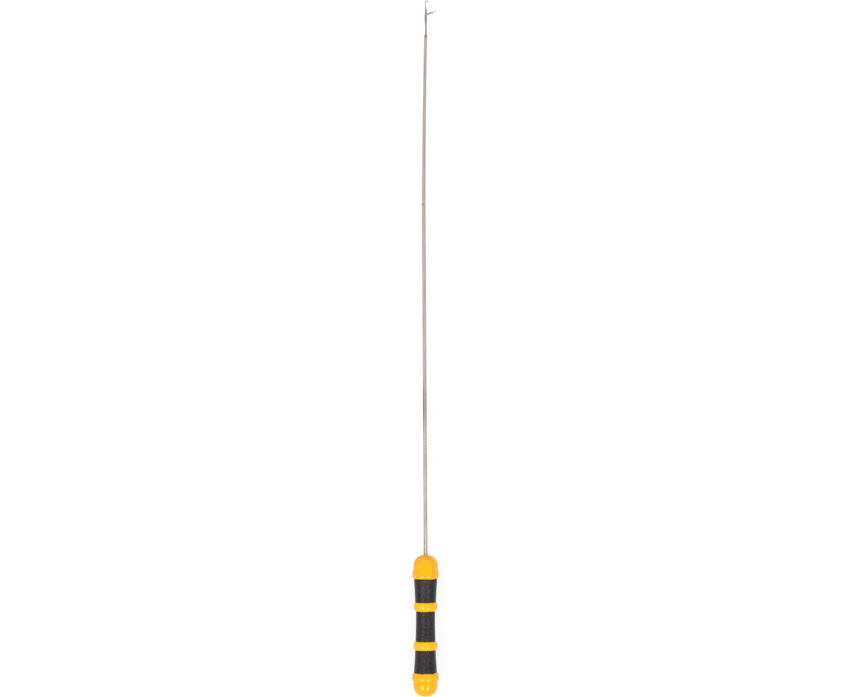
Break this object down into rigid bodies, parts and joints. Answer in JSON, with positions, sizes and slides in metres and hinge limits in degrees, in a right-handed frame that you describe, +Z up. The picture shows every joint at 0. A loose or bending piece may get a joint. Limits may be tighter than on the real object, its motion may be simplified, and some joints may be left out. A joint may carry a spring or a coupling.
{
  "type": "latch needle insertion tool",
  "caption": "Hooked needle with a swinging latch on a thin steel shaft with a banded finger handle, for drawing a line, cord or strip through a hole.",
  "frame": {"origin": "under the middle of the whole tool, on the surface that it lies on", "axes": "+X along the tool from the butt of the handle to the hook, +Z up from the surface, -Y the side that the latch opens to; the latch's rivet stands along +Z"},
  "size_m": [0.28, 0.0108, 0.0108],
  "materials": {
    "yellow_plastic": "moulded, glossy, strong yellow",
    "black_rubber": "moulded soft grip, matte, black",
    "core_plastic": "moulded, plain, hidden",
    "tube_steel": "drawn tube, satin",
    "needle_steel": "pressed and polished",
    "braze_metal": "brazed joint, browned by heat"
  },
  "bodies": {
    "tool": {"end_cap": "yellow_plastic", "front_cap": "yellow_plastic", "rear_ring": "yellow_plastic", "front_ring": "yellow_plastic", "rear_grip": "black_rubber", "middle_grip": "black_rubber", "front_grip": "black_rubber", "handle_core": "core_plastic", "shaft_tube": "tube_steel", "needle_blade": "needle_steel", "latch_rivet": "needle_steel", "braze_collar": "braze_metal"},
    "latch": {"latch": "needle_steel"}
  },
  "joints": [
    {"name": "latch_hinge", "type": "hinge", "parent": "tool", "child": "latch", "pos_m": [0.13428, 0.00002, 0.0054], "axis": [0, 0, 1], "range_deg": [-100, 55]}
  ]
}
